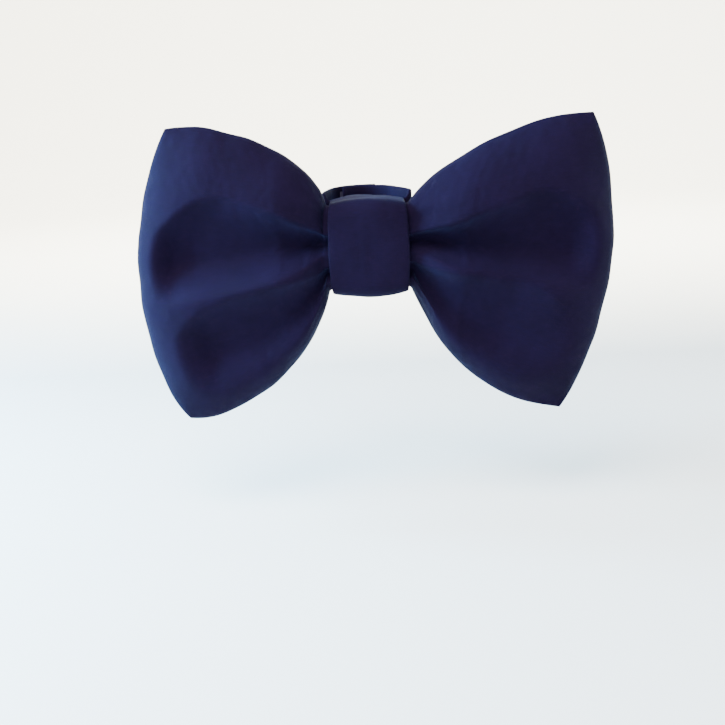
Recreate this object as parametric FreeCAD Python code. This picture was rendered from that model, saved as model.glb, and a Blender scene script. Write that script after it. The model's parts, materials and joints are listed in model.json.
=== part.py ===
"""Pre-made fabric gift bow with a wrap-round strap, in millimetres.

The bow is a sewn, turned and lightly padded pillow of navy cotton, pinched at its waist and wrapped
with a knot band. A strap runs through the knot and closes with hook-and-loop tape round a post.
Frame: origin on the post's axis, +Z up along the post, +X from the left lobe to the right, -Y to the
front.
"""
import FreeCAD
import Part
import math
import os

Vector = FreeCAD.Vector

# The post that the bow is strapped to, and the strap's gaps
POST_RADIUS = 15.0
CLAMP_RADIUS = POST_RADIUS + 0.1
GAP = 0.12
PAD_GAP = 0.2

# Cloth thicknesses
CLOTH = 0.6
INTERFACING = 0.4
BAND_WALL = 1.2
THREAD = 0.5
STITCH_COUNT = 11
STITCH_RUN = 1.6
THREAD_CORNER = 4.0
THREAD_TURNS = 5
THREAD_REACH = 2.4

# Sewn stitches: their radius, where each starts and stops as shares of its step, and how far the
# centre line of a tape's stitches lies under the face of the strap's arm
STITCH_RADIUS = THREAD / 4
STITCH_START = 0.2
STITCH_STOP = 0.8
STITCH_SINK = 0.05

# Knot band: a rounded loop round the waist, its lap at the back, and how far in from the band's edge
# the interfacing, the lap and the closing stitches stop
BAND_HALF_WIDTH = 21.0
BAND_HALF_HEIGHT = 25.5
BAND_BACK_Y = -(CLAMP_RADIUS + 0.2)
BAND_FRONT_Y = -45.2
BAND_FRONT_CORNER = 6.5
BAND_BACK_CORNER = 3.4
BAND_CROWN = 1.0
LAP_HALF_HEIGHT = 7.0
LAP_WALL = 0.5
INTERFACING_MARGIN = 1.5
LAP_MARGIN = 2.0
CLOSING_MARGIN = 4.0
WAIST_MARGIN = 0.3

# Strap: a flat tube of cloth round a stiffener, squeezed lower in the knot than in its two arms.
# CORE_GAP is the room beside a stiffener in its pocket, and POCKET_ROOM the room past its ends.
# ROOT_CUT is the slant of an arm's end at its hinge, and the two shoulder values shape the bend
STRAP_COVER = 0.55
STRAP_CORE = 0.6
CORE_GAP = 0.02
POCKET_ROOM = 0.05
POCKET_TIP_DEG = 0.3
STRAP_WALL = 2 * (STRAP_COVER + CORE_GAP) + STRAP_CORE
STRAP_LOW_Z = -17.6
STRAP_HIGH_Z = 23.4
ARM_HIGH_Z = 27.4
STRAP_HEM = 1.4
STRAP_MARGIN = 0.15
CORE_MARGIN = 0.6
STRAP_MID_Y = BAND_BACK_Y - BAND_WALL - GAP - INTERFACING - LAP_WALL - GAP - STRAP_WALL / 2
STRAP_HINGE_X = BAND_HALF_WIDTH + 1.3
STRAP_SHOULDER = (23.2, -12.5)
SHOULDER_LEAD = 0.15
SHOULDER_LEAVE = 0.2
ROOT_CUT = (0.9, 0.45)
INNER_ARM_END_DEG = -55.0
OUTER_ARM_END_DEG = 14.0

# Hook and loop tapes: PAD_SEAT is the gap to the arm that a tape is sewn to
PAD_WALL = 1.2
PAD_MARGIN = 3.0
PAD_SEAT = 0.03
PAD_STITCH_MARGIN = 1.2
PAD_START_DEG = -50.0
PAD_END_DEG = 6.0

# Lobes: half of the pillow each side of the knot
LOBE_HINGE_X = BAND_HALF_WIDTH + 0.35
LOBE_MID_Y = -31.3
LOBE_BEND_DEG = 12.0
WAIST_HALF_HEIGHT = 22.3
ROOT_TOP = (LOBE_HINGE_X, 23.4)
ROOT_BOTTOM = (LOBE_HINGE_X, -23.4)
TOP_SEAM_BENDS = [(34.0, 43.5), (75.0, 65.5)]
BOTTOM_SEAM_BENDS = [(32.0, -50.0), (52.0, -85.0)]
TOP_CORNER = (113.2, 66.0)
BOTTOM_CORNER = (102.5, -93.5)
OUTER_SEAM_BOW = 16.5
DEPTH_ROOT = 10.6
FRONT_SWELL = 39.0
BACK_SWELL = 22.0
DEPTH_EDGE = 1.7
ROUNDNESS_ROOT = 0.62

# Folds pressed into the lobes at the waist: place and width as shares of the half height
FRONT_FOLDS = [0.16, -0.46]
BACK_FOLDS = [0.0]
FOLD_WIDTH = 0.17
FOLD_DEPTH_ROOT = 5.6
FOLD_DEPTH_SWELL = 17.0
BACK_FOLD_SHARE = 0.6

# How finely the cloth's surfaces are drawn
STATIONS_ALONG = 13
STATIONS_ACROSS = 41
WAIST_STATIONS = 5

# Where the padding stops and the turned-in seam allowance begins, as shares of a lobe's length,
# and how near the padding comes to the top and bottom seams, as an angle round the section
PADDING_END = 0.94
ALLOWANCE_START = 0.955
FULL_ANGLE = math.pi / 2
PADDING_ANGLE = math.radians(80)


def mirror_x(shape):
    """The same shape on the other side of the bow."""
    return shape.mirror(Vector(0, 0, 0), Vector(1, 0, 0))


def patch_solid(outer_points, inner_points):
    """A closed sheet of material between two grids of points, one on each of its faces."""
    faces = []
    for points in (outer_points, inner_points):
        surface = Part.BSplineSurface()
        surface.interpolate(points)
        faces.append(surface.toShape())
    edge_pairs = list(zip(faces[0].Edges, faces[1].Edges))
    faces += [Part.makeRuledSurface(first, second) for first, second in edge_pairs]
    solid = Part.Solid(Part.Shell(faces))
    if solid.Volume < 0:
        solid.reverse()
    return solid


def spread(first, last, count):
    """Evenly spaced values from first to last."""
    return [first + (last - first) * i / (count - 1) for i in range(count)]


# ---------------------------------------------------------------- lobes

def cubic(ends, bends, u):
    """A point on the curve from ends[0] to ends[1], drawn towards the two bends."""
    v = 1 - u
    weights = (v ** 3, 3 * v * v * u, 3 * v * u * u, u ** 3)
    points = (ends[0], bends[0], bends[1], ends[1])
    return tuple(sum(w * p[k] for w, p in zip(weights, points)) for k in (0, 1))


def quadratic(start, middle, end, u):
    """A value that goes from start to end and swells towards middle."""
    return start * (1 - u) ** 2 + 2 * middle * u * (1 - u) + end * u * u


def fold_depth(u, across, places, share):
    """How far the folds dent the lobe at u along it and across it."""
    depth = quadratic(FOLD_DEPTH_ROOT, FOLD_DEPTH_SWELL, 0.0, u) * (1 - u * u) * share
    width = FOLD_WIDTH * (1 + u)
    return depth * sum(math.exp(-((across - place) / width) ** 2) for place in places)


def lobe_point(u, angle, inset, side):
    """A point on the right lobe, inset from its skin.

    u runs from the waist to the outer seam, and angle from the bottom seam to the top seam.
    side is -1 on the front and 1 on the back.
    """
    top = cubic((ROOT_TOP, TOP_CORNER), TOP_SEAM_BENDS, u)
    bottom = cubic((ROOT_BOTTOM, BOTTOM_CORNER), BOTTOM_SEAM_BENDS, u)
    half_height = math.hypot(top[0] - bottom[0], top[1] - bottom[1]) / 2
    roundness = ROUNDNESS_ROOT + (1 - ROUNDNESS_ROOT) * u
    swing = math.copysign(abs(math.sin(angle)) ** roundness, angle)
    across = swing * (1 - inset / half_height)
    share = (1 + across) / 2
    bow = OUTER_SEAM_BOW * u * u * (1 - across * across)
    lean = (top[0] - bottom[0]) / (2 * half_height)
    x = bottom[0] + (top[0] - bottom[0]) * share + bow * math.sqrt(1 - lean * lean)
    z = bottom[1] + (top[1] - bottom[1]) * share - bow * lean
    skin = quadratic(DEPTH_ROOT, FRONT_SWELL if side < 0 else BACK_SWELL, DEPTH_EDGE, u)
    folds = FRONT_FOLDS if side < 0 else BACK_FOLDS
    dent = fold_depth(u, across, folds, 1.0 if side < 0 else BACK_FOLD_SHARE)
    round_share = max(math.cos(angle), 0.0) ** roundness
    depth = (skin - inset - dent) * round_share
    relief = depth * math.tan(math.radians(LOBE_BEND_DEG)) * (1 - u) ** 3
    return Vector(x + relief, LOBE_MID_Y + side * depth, z)


def lobe_grid(inset, side, start=0.0, end=1.0, reach=FULL_ANGLE):
    """The grid of points of one layer's face on the right lobe."""
    angles = spread(-reach, reach, STATIONS_ACROSS)
    return [
        [lobe_point(u, angle, inset, side) for angle in angles]
        for u in spread(start, end, STATIONS_ALONG)
    ]


def lobe_parts():
    """The layers of the right lobe, from the outside in."""
    lining_face = CLOTH + GAP / 4
    padding_face = lining_face + INTERFACING + GAP
    parts = {}
    for name, side in (("front", -1), ("back", 1)):
        parts[name + "_panel"] = patch_solid(lobe_grid(0, side), lobe_grid(CLOTH, side))
        parts[name + "_interfacing"] = patch_solid(
            lobe_grid(lining_face, side), lobe_grid(lining_face + INTERFACING, side)
        )
    fillings = {"wadding": (0.0, PADDING_END), "seam_allowance": (ALLOWANCE_START, 1.0)}
    for name, (start, end) in fillings.items():
        parts[name] = patch_solid(
            lobe_grid(padding_face, -1, start, end, PADDING_ANGLE),
            lobe_grid(padding_face, 1, start, end, PADDING_ANGLE),
        )
    return parts


# ---------------------------------------------------------------- waist and knot

def waist_point(x, angle, inset, side):
    """A point on the pleated waist inside the knot, which runs straight along X."""
    swing = math.copysign(abs(math.sin(angle)) ** ROUNDNESS_ROOT, angle)
    across = swing * (1 - inset / WAIST_HALF_HEIGHT)
    folds = FRONT_FOLDS if side < 0 else BACK_FOLDS
    dent = fold_depth(0.0, across, folds, 1.0 if side < 0 else BACK_FOLD_SHARE)
    depth = (DEPTH_ROOT - inset - dent) * max(math.cos(angle), 0.0) ** ROUNDNESS_ROOT
    return Vector(x, LOBE_MID_Y + side * depth, across * WAIST_HALF_HEIGHT)


def waist_grid(inset, side, reach=FULL_ANGLE):
    """The grid of points of one layer's face in the waist."""
    angles = spread(-reach, reach, STATIONS_ACROSS)
    half_length = BAND_HALF_WIDTH - WAIST_MARGIN
    return [
        [waist_point(x, angle, inset, side) for angle in angles]
        for x in spread(-half_length, half_length, WAIST_STATIONS)
    ]


def waist_parts():
    """The pinched middle of the pillow: its two panels and what is left of the padding."""
    core_face = CLOTH + 3 * GAP
    return {
        "waist_front_pleats": patch_solid(waist_grid(0, -1), waist_grid(CLOTH, -1)),
        "waist_back_pleats": patch_solid(waist_grid(0, 1), waist_grid(CLOTH, 1)),
        "waist_wadding": patch_solid(
            waist_grid(core_face, -1, PADDING_ANGLE), waist_grid(core_face, 1, PADDING_ANGLE)
        ),
    }


def knot_outline(inset, x):
    """The knot's section at x: a flat back, rounded corners and a crowned front, as a closed wire."""
    back = BAND_BACK_Y - inset
    front = BAND_FRONT_Y + inset
    high = BAND_HALF_HEIGHT - inset
    back_r = BAND_BACK_CORNER - inset
    front_r = BAND_FRONT_CORNER - inset
    shoulder = front + BAND_CROWN
    diagonal = 1 - math.sqrt(0.5)

    def at(y, z):
        return Vector(x, y, z)

    edges = [
        Part.LineSegment(at(back, -high + back_r), at(back, high - back_r)).toShape(),
        Part.Arc(
            at(back, high - back_r),
            at(back - back_r * diagonal, high - back_r * diagonal),
            at(back - back_r, high),
        ).toShape(),
        Part.LineSegment(at(back - back_r, high), at(shoulder + front_r, high)).toShape(),
        Part.Arc(
            at(shoulder + front_r, high),
            at(shoulder + front_r * diagonal, high - front_r * diagonal),
            at(shoulder, high - front_r),
        ).toShape(),
        Part.Arc(at(shoulder, high - front_r), at(front, 0), at(shoulder, -high + front_r)).toShape(),
        Part.Arc(
            at(shoulder, -high + front_r),
            at(shoulder + front_r * diagonal, -high + front_r * diagonal),
            at(shoulder + front_r, -high),
        ).toShape(),
        Part.LineSegment(at(shoulder + front_r, -high), at(back - back_r, -high)).toShape(),
        Part.Arc(
            at(back - back_r, -high),
            at(back - back_r * diagonal, -high + back_r * diagonal),
            at(back, -high + back_r),
        ).toShape(),
    ]
    return Part.Wire(edges)


def knot_loop(inset, wall, half_width):
    """A closed loop of cloth round the waist, with its wall inside the given inset."""
    span = Vector(2 * half_width, 0, 0)
    outer = Part.Face(knot_outline(inset, -half_width)).extrude(span)
    inner = Part.Face(knot_outline(inset + wall, -half_width)).extrude(span)
    return outer.cut(inner)


def stitch(start, end, radius):
    """One stitch: a short straight length of thread with round ends."""
    run = end - start
    body = Part.makeCylinder(radius, run.Length, start, run)
    return body.fuse([Part.makeSphere(radius, start), Part.makeSphere(radius, end)])


def knot_parts():
    """The band round the waist, its interfacing, its lap, and the thread that gathers the waist."""
    parts = {"knot_band": knot_loop(0, BAND_WALL, BAND_HALF_WIDTH)}
    parts["knot_band_interfacing"] = knot_loop(
        BAND_WALL + GAP / 2, INTERFACING, BAND_HALF_WIDTH - INTERFACING_MARGIN
    )

    lap_y = BAND_BACK_Y - BAND_WALL - GAP / 2 - INTERFACING - GAP / 2
    lap_half_length = BAND_HALF_WIDTH - LAP_MARGIN
    parts["knot_band_lap"] = Part.makeBox(
        2 * lap_half_length, LAP_WALL, 2 * LAP_HALF_HEIGHT,
        Vector(-lap_half_length, lap_y - LAP_WALL, -LAP_HALF_HEIGHT),
    )

    reach = BAND_HALF_WIDTH - CLOSING_MARGIN
    closing = []
    for x in spread(-reach, reach - STITCH_RUN, STITCH_COUNT):
        high = Vector(x, BAND_BACK_Y, LAP_HALF_HEIGHT + STITCH_RUN / 2)
        low = high + Vector(STITCH_RUN, 0, -STITCH_RUN)
        closing.append(stitch(high, low, STITCH_RADIUS))
    parts["knot_closing_stitches"] = Part.makeCompound(closing)

    turns = []
    for x in spread(-THREAD_REACH, THREAD_REACH, THREAD_TURNS):
        path = gathering_path(x)
        ring = Part.Wire(path).makePipeShell(
            [Part.Wire(Part.makeCircle(THREAD / 2, path[0].Vertexes[0].Point, Vector(0, 0, 1)))],
            True, True,
        )
        turns.append(ring)
    parts["gathering_thread"] = Part.makeCompound(turns)
    return parts


def gathering_path(x):
    """One turn of thread round the waist, in front of the strap."""
    reach = DEPTH_ROOT + THREAD / 2 + GAP / 2
    back = LOBE_MID_Y + reach
    front = LOBE_MID_Y - reach
    high = WAIST_HALF_HEIGHT + THREAD / 2 + GAP / 2
    corner = THREAD_CORNER
    diagonal = corner * (1 - math.sqrt(0.5))
    edges = []
    corners = [(back, high), (front, high), (front, -high), (back, -high)]
    for i, (y, z) in enumerate(corners):
        y_in = math.copysign(1, y - LOBE_MID_Y)
        z_in = math.copysign(1, z)
        on_side = Vector(x, y, z - z_in * corner)
        on_end = Vector(x, y - y_in * corner, z)
        middle = Vector(x, y - y_in * diagonal, z - z_in * diagonal)
        first, last = (on_side, on_end) if i % 2 == 0 else (on_end, on_side)
        edges.append((first, middle, last))
    path = []
    for i, (first, middle, last) in enumerate(edges):
        before = edges[i - 1][2]
        path.append(Part.LineSegment(before, first).toShape())
        path.append(Part.Arc(first, middle, last).toShape())
    return path


# ---------------------------------------------------------------- strap

def ring_point(radius, degrees):
    """A point on a circle round the post, with 0 degrees at the back and +90 on the right."""
    angle = math.radians(degrees)
    return Vector(radius * math.sin(angle), radius * math.cos(angle), 0)


def tangent_degrees(radius, point):
    """Where the line from a point on the right touches the circle of that radius round the post."""
    distance = math.hypot(*point)
    bearing = math.degrees(math.atan2(point[0], point[1]))
    return bearing - math.degrees(math.acos(radius / distance))


def arm_edge(ring_radius, offset, end_degrees):
    """One long edge of an arm's plan, on the right: from its hinge round the shoulder to its end.

    offset is the edge's distance from the arm's centre line, outwards.
    """
    root = Vector(STRAP_HINGE_X + offset * ROOT_CUT[0], STRAP_MID_Y + offset * ROOT_CUT[1], 0)
    shoulder = (STRAP_SHOULDER[0] + offset, STRAP_SHOULDER[1])
    radius = ring_radius + offset
    touch_at = tangent_degrees(radius, shoulder)
    touch = ring_point(radius, touch_at)
    corner = Vector(shoulder[0], shoulder[1], 0)
    entry = Vector(shoulder[0] + SHOULDER_LEAD, (STRAP_MID_Y + shoulder[1]) / 2, 0)
    leave = corner + (touch - corner) * SHOULDER_LEAVE
    middle = ring_point(radius, (touch_at + end_degrees) / 2)
    bend = Part.BezierCurve()
    bend.setPoles([root, entry, corner, leave])
    return [
        bend.toShape(),
        Part.LineSegment(leave, touch).toShape(),
        Part.Arc(touch, middle, ring_point(radius, end_degrees)).toShape(),
    ]


def arm_layer(ring_radius, outward, inward, end_degrees, low, high):
    """A layer of a strap arm between two offsets from its centre line, standing from low to high."""
    outer = arm_edge(ring_radius, outward, end_degrees)
    inner = arm_edge(ring_radius, inward, end_degrees)
    start = Part.LineSegment(inner[0].Vertexes[0].Point, outer[0].Vertexes[0].Point).toShape()
    end = Part.LineSegment(outer[-1].Vertexes[-1].Point, inner[-1].Vertexes[-1].Point).toShape()
    outline = Part.Wire(Part.__sortEdges__(outer + [end] + inner + [start]))
    solid = Part.Face(outline).extrude(Vector(0, 0, high - low))
    solid.translate(Vector(0, 0, low))
    return solid


def strap_arm(ring_radius, end_degrees):
    """The cloth cover of an arm and the stiffener inside it, on the right."""
    half = STRAP_WALL / 2
    cover = arm_layer(ring_radius, half, -half, end_degrees, STRAP_LOW_Z, ARM_HIGH_Z)
    tip = math.degrees(STRAP_HEM / ring_radius)
    inside = end_degrees + tip
    pocket_half = STRAP_CORE / 2 + CORE_GAP
    low, high = STRAP_LOW_Z + STRAP_HEM, ARM_HIGH_Z - STRAP_HEM
    pocket = arm_layer(
        ring_radius, pocket_half, -pocket_half,
        inside - POCKET_TIP_DEG, low - POCKET_ROOM, high + POCKET_ROOM,
    )
    core = arm_layer(ring_radius, STRAP_CORE / 2, -STRAP_CORE / 2, inside, low, high)
    return cover.cut(pocket), core


def curved_pad(radius, wall, start_degrees, end_degrees):
    """A pad of hook or loop tape that follows the strap round the post."""
    edges = []
    rims = [(radius + wall, start_degrees, end_degrees), (radius, end_degrees, start_degrees)]
    for r, first, last in rims:
        middle = ring_point(r, (first + last) / 2)
        edges.append(Part.Arc(ring_point(r, first), middle, ring_point(r, last)).toShape())
    for i in (0, 1):
        start = edges[i].Vertexes[-1].Point
        end = edges[1 - i].Vertexes[0].Point
        edges.append(Part.LineSegment(start, end).toShape())
    outline = Part.Wire(Part.__sortEdges__(edges))
    height = ARM_HIGH_Z - STRAP_LOW_Z - 2 * PAD_MARGIN
    pad = Part.Face(outline).extrude(Vector(0, 0, height))
    pad.translate(Vector(0, 0, STRAP_LOW_Z + PAD_MARGIN))
    return pad


def pad_stitches(radius, start_degrees, end_degrees):
    """The two rows of machine stitches that hold a pad of tape along its long edges."""
    stitches = []
    low = STRAP_LOW_Z + PAD_MARGIN + PAD_STITCH_MARGIN
    high = ARM_HIGH_Z - PAD_MARGIN - PAD_STITCH_MARGIN
    step = (end_degrees - start_degrees) / STITCH_COUNT
    for z in (low, high):
        for i in range(STITCH_COUNT):
            first = ring_point(radius, start_degrees + step * (i + STITCH_START))
            last = ring_point(radius, start_degrees + step * (i + STITCH_STOP))
            lift = Vector(0, 0, z)
            stitches.append(stitch(first + lift, last + lift, STITCH_RADIUS))
    return Part.makeCompound(stitches)


def strap_parts():
    """The strap's section in the knot, its two arms and the hook-and-loop closure."""
    half = STRAP_WALL / 2
    half_length = BAND_HALF_WIDTH - STRAP_MARGIN
    low, high = STRAP_LOW_Z, STRAP_HIGH_Z
    cover = Part.makeBox(
        2 * half_length, STRAP_WALL, high - low,
        Vector(-half_length, STRAP_MID_Y - half, low),
    )
    core_half_length = half_length - CORE_MARGIN
    core_low, core_high = low + STRAP_HEM, high - STRAP_HEM

    def inner_box(half_wall, room):
        reach = core_half_length + room
        return Part.makeBox(
            2 * reach, 2 * half_wall, core_high - core_low + 2 * room,
            Vector(-reach, STRAP_MID_Y - half_wall, core_low - room),
        )

    pocket = inner_box(STRAP_CORE / 2 + CORE_GAP, POCKET_ROOM)
    core = inner_box(STRAP_CORE / 2, 0.0)

    inner_ring = CLAMP_RADIUS + half
    loop_at = CLAMP_RADIUS + STRAP_WALL + PAD_SEAT
    hook_at = loop_at + PAD_WALL + PAD_GAP
    outer_ring = hook_at + PAD_WALL + PAD_SEAT + half
    right_cover, right_core = strap_arm(inner_ring, INNER_ARM_END_DEG)
    left_cover, left_core = strap_arm(outer_ring, -OUTER_ARM_END_DEG)
    return {
        "strap_middle": cover.cut(pocket),
        "strap_middle_stiffener": core,
        "right_strap_arm": right_cover,
        "right_strap_stiffener": right_core,
        "left_strap_arm": mirror_x(left_cover),
        "left_strap_stiffener": mirror_x(left_core),
        "loop_tape": curved_pad(loop_at, PAD_WALL, PAD_START_DEG, PAD_END_DEG),
        "hook_tape": curved_pad(hook_at, PAD_WALL, PAD_START_DEG, PAD_END_DEG),
        "loop_tape_stitches": pad_stitches(
            CLAMP_RADIUS + STRAP_WALL - STITCH_SINK, PAD_START_DEG, PAD_END_DEG
        ),
        "hook_tape_stitches": pad_stitches(
            outer_ring + half - STITCH_SINK, PAD_START_DEG, PAD_END_DEG
        ),
    }


def all_parts():
    """Every named sub-part of the bow."""
    parts = {}
    for name, shape in lobe_parts().items():
        parts["right_" + name] = shape
        parts["left_" + name] = mirror_x(shape)
    parts.update(waist_parts())
    parts.update(knot_parts())
    parts.update(strap_parts())
    return parts


def main():
    os.makedirs("parts", exist_ok=True)
    for name, shape in all_parts().items():
        if not shape.isValid() or shape.Volume <= 0:
            print("check", name, shape.isValid(), round(shape.Volume, 2))
        shape.exportStep("parts/%s.step" % name)


main()
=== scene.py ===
"""The looks of a pre-made fabric gift bow: padded navy lobes, a wrapped knot and a strap round a post.

Sizes are in millimetres, in the frame's axes: +X from the left lobe to the right, -Y to the front, +Z up.
"""
import json
import math

import bpy
import numpy as np
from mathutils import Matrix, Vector, noise


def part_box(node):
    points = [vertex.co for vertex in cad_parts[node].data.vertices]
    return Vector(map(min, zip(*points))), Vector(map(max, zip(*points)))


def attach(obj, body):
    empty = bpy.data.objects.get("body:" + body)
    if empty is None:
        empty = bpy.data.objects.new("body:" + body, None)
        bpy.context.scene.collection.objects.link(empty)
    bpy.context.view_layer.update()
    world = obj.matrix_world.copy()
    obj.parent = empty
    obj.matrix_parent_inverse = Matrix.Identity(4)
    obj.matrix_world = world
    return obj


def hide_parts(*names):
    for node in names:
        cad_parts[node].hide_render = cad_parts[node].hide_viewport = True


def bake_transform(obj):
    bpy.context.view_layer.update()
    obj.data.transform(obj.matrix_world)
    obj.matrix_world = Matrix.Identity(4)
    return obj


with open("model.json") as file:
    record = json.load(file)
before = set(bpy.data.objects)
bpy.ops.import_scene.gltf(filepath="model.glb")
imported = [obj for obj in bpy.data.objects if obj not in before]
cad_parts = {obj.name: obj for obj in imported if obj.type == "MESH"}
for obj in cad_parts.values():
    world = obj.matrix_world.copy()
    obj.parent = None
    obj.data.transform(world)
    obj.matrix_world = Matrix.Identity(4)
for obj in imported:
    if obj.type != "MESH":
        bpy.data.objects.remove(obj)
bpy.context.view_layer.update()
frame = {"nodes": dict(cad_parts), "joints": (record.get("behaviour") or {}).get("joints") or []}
MM = 0.001

# The knot band and the joints, read from the frame
BAND_LOW, BAND_HIGH = [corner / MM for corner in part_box("knot_band")]
BAND_HALF_WIDTH = BAND_HIGH.x
BAND_HALF_HEIGHT = BAND_HIGH.z
JOINTS = {joint["name"]: joint for joint in frame["joints"]}
LOBE_HINGE = Vector(JOINTS["right_lobe_bend"]["pos_m"]) / MM
STRAP_HINGE = Vector(JOINTS["right_strap_open"]["pos_m"]) / MM
STRAP_LOW, STRAP_HIGH = [corner.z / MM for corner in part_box("strap_middle")]
ARM_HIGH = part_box("right_strap_arm")[1].z / MM

# Knot band's cloth: its corners' radii at the front and back, how far its front is crowned, how much
# narrower it is at the top and bottom, and the points round it and across it
BAND_WALL = 1.25
BAND_CORNERS = (7.5, 3.4)
BAND_CROWN = 2.4
BAND_NARROWING = 1.3
BAND_AROUND = 120
BAND_ACROSS = 26
BAND_SEED = 5.1
BAND_LINING_GAP = 0.1
BAND_LINING_MARGIN = 1.6

# Its unevenness: how far the middle swells, then the height and the length of the wander of its edges
# (the height as a share of the width), of its waves and of its fine creases
BAND_SWELL = 0.5
BAND_EDGE_WANDER = (0.012, 9.0)
BAND_WAVES = (0.45, 13.0)
BAND_CREASES = (0.14, 3.6)
BAND_CREASE_STRETCH = 0.12

# The two lobes. top and bottom: each seam's two bends and its corner, as distances from the middle and
# heights. bow: how far the outer seam bulges. blunt: how far the top and bottom corners are drawn in.
# crests: where each hollow's crest lies across the lobe, -1 to 1, at shares of its length.
# hollow_ends: the shares of the length where the upper and the lower hollow begin to fade and are gone.
# seed: picks a lobe's own unevenness. ROOT_HALF_HEIGHT is half a lobe's height where it leaves the knot,
# and CORNER_SHARE is how much of blunt goes each way
ROOT_HALF_HEIGHT = 22.2
LOBES = {
    "right": {
        "sign": 1,
        "top": [(35.0, 42.5), (79.0, 62.5), (118.6, 65.6)],
        "bottom": [(33.0, -49.5), (47.5, -83.0), (101.8, -93.7)],
        "bow": 17.3,
        "blunt": (2.5, 1.5),
        "upper_crest": ([0, 0.3, 0.55, 0.78, 0.95], [0.31, 0.36, 0.47, 0.58, 0.36]),
        "lower_crest": ([0, 0.25, 0.6, 0.75, 0.9], [-0.33, -0.18, -0.06, -0.10, -0.30]),
        "hollow_ends": ((0.86, 0.96), (0.64, 0.97)),
        "seed": 3.7,
    },
    "left": {
        "sign": -1,
        "top": [(26.0, 47.5), (70.0, 68.0), (102.8, 65.6)],
        "bottom": [(28.5, -53.0), (57.0, -87.5), (104.6, -94.3)],
        "bow": 18.6,
        "blunt": (1.5, 5.0),
        "upper_crest": ([0, 0.25, 0.45, 0.75, 0.95], [0.36, 0.41, 0.49, 0.60, 0.30]),
        "lower_crest": ([0, 0.25, 0.5, 0.75, 0.92], [-0.42, -0.24, -0.15, -0.17, -0.40]),
        "hollow_ends": ((0.86, 0.95), (0.78, 0.91)),
        "seed": 11.2,
    },
}
CORNER_SHARE = 0.6

# How far the seams wander, over what length, and the rough lengths that the wander is spread over
SEAM_WOBBLE = 1.1
SEAM_WOBBLE_LENGTH = 15.0
SEAM_LENGTH = 95.0
BOTTOM_SEAM_START = 60.0
OUTER_WOBBLE_LENGTH = 17.0
OUTER_SEAM_HALF_LENGTH = 80.0

# A lobe's depth beside the knot and in its middle, front and back, and the share of its length by which
# it is full. SECTION_ROUNDNESS is beside the knot, and what is added to it further out. The last two
# lay the cloth's flat coordinates out, for its weave
FRONT_DEPTHS = (9.8, 22.5)
BACK_DEPTHS = (9.6, 15.0)
FULL_DEPTH_AT = 0.45
SECTION_ROUNDNESS = (0.42, 0.34)
CLOTH_HALF_HEIGHT = 79.0
CLOTH_SIDE_OFFSET = 5.0

# Hollows: where the bottom of each lies across the lobe, then how widely it climbs back and how deep it
# is, each beside the knot and as what is added once the hollow is open
FRONT_HOLLOWS = {
    "upper": {"valley": 0.12, "climb": (0.22, 0.06), "depth": (5.6, 9.6)},
    "lower": {"valley": -0.54, "climb": (0.24, 0.10), "depth": (5.2, 7.8)},
}
FRONT_OPEN_AT = 0.4
CREST_ROUNDING = 0.09
BACK_HOLLOW = {"valley": 0.02, "width": (0.14, 0.2), "depth": (3.4, 2.0)}
BACK_OPEN_AT = 0.3
BACK_FADE = (0.5, 0.9)

# Relief pressed into the settled cloth: how broad the puckers and the waves are, how many gathers there
# are from seam to seam, and the height of each
PUCKERS = (5.5, 0.55)
PUCKER_FROM_SEAM = 4
PUCKER_SPREAD = 5
BROAD_WAVES = (28.0, 1.1)
GATHERS = (15, 0.7)

# How a lobe's grid is divided. The columns crowd towards the outer seam and the rows towards both seams.
# The hidden columns lie inside the knot
HIDDEN_LENGTH = 9.5
HIDDEN_COLUMNS = 4
COLUMNS = 60
ROWS = 72
COLUMN_CROWDING = 0.25
ROW_CROWDING = 0.38

# The cloth simulation: its length, how firmly the cloth is held and how far a point may move
SETTLE_FRAMES = 18
SETTLE_FIRMNESS = 0.25
SETTLE_CAP = 4.0

# Cloth thicknesses for the layers inside, and how much further in each layer stands
PANEL = 0.6
LINING = 0.4
LINING_SETBACK = 0.3
PADDING_SETBACK = 1.2
TURNING_SETBACK = 0.8

# The columns and rows of the grid that a layer leaves out: beside the knot, at the outer seam, and along
# the top and bottom seams. The seam's turning starts TURNING_COLUMNS in from the outer seam
LINING_MARGINS = (1, 3, 4)
PADDING_MARGINS = (2, 6, 5)
TURNING_COLUMNS = 5
TURNING_MARGINS = (3, 3)

# The waist inside the knot: its rings, its half depth, and how far in its cloth and its padding stand
WAIST_RINGS = 9
WAIST_HALF_DEPTH = 10.0
WAIST_TUCK = 1.0
WAIST_CLOTH_INSET = 0.25
WAIST_PADDING_INSET = 1.6

# Strap: its cloth, its stiffener, how far the stiffener stops from the edges, and how uneven it is
STRAP_WALL = 1.74
STIFFENER_WALL = 0.6
STRAP_HEM = 1.6
STRAP_UNEVEN = 0.14
STRAP_SEED = 7.0
STRAP_HALF_HEIGHT = 20.0

# How far inside the knot's edge an arm and the middle of the strap end, how far along an arm it rises to
# its full height, and where its bend begins and ends: in from the hinge, and back from it at the end
STRAP_ENTRY = 2.5
STRAP_MIDDLE_GAP = 2.4
STRAP_FLARE = (1.5, 5.5)

# An arm's line: its straight length out of the knot, the start and end of its turn (in from the hinge
# and from the shoulder, and back from the hinge), its points and how often it is smoothed
ARM_LEAD = 1.2
ARM_TURN_START = (0.3, 0.15)
ARM_TURN_END = (0.1, 1.6)
ARM_STATIONS = 140
ARM_SMOOTHINGS = 12

# The two arms' rings round the post, the corner where each turns towards the post, and their ends
POST_CLEARANCE_RADIUS = 15.1
INNER_RING = POST_CLEARANCE_RADIUS + STRAP_WALL / 2
OUTER_RING = 20.37
STRAP_SHOULDER = (23.2, -12.5)
INNER_END_DEG = -55.0
OUTER_END_DEG = -14.0

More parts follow.
